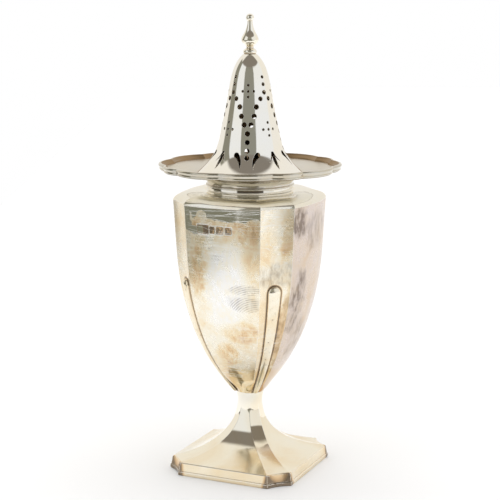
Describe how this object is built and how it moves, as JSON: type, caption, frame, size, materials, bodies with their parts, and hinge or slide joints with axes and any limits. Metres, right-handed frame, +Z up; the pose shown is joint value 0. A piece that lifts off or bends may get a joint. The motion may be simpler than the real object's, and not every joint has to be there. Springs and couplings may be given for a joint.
{
  "type": "sugar caster",
  "caption": "Silver sugar caster: a tapering canted-square vase on a raised square foot, with a wide-brimmed pierced cone cover that lifts off.",
  "frame": {"origin": "centre of the flat underside of the foot, on the surface it stands on", "axes": "+Z up the axis of the vase and cover; X and Y square to the sides of the foot and the wide faces of the vase"},
  "size_m": [0.0768, 0.0768, 0.1953],
  "materials": {
    "silver_foot": "polished, lightly tarnished",
    "silver_vase": "worn polish with a warm patchy tarnish",
    "silver_cover": "polished, lightly tarnished"
  },
  "bodies": {
    "vase": {"base_wire": "silver_foot", "foot": "silver_foot", "vase_body": "silver_vase", "strap_front_right": "silver_vase", "strap_back_right": "silver_vase", "strap_back_left": "silver_vase", "strap_front_left": "silver_vase", "shoulder_plate": "silver_vase", "neck_collar": "silver_vase", "neck_bead": "silver_vase"},
    "cover": {"cover_bezel": "silver_cover", "cover_cove": "silver_cover", "brim_plate": "silver_cover", "brim_border": "silver_cover", "pierced_cone": "silver_cover", "finial_collar": "silver_cover", "finial": "silver_cover"}
  },
  "joints": [
    {"name": "cover_lift", "type": "slide", "parent": "vase", "child": "cover", "axis": [0, 0, 1], "range_m": [0, 0.06]}
  ]
}
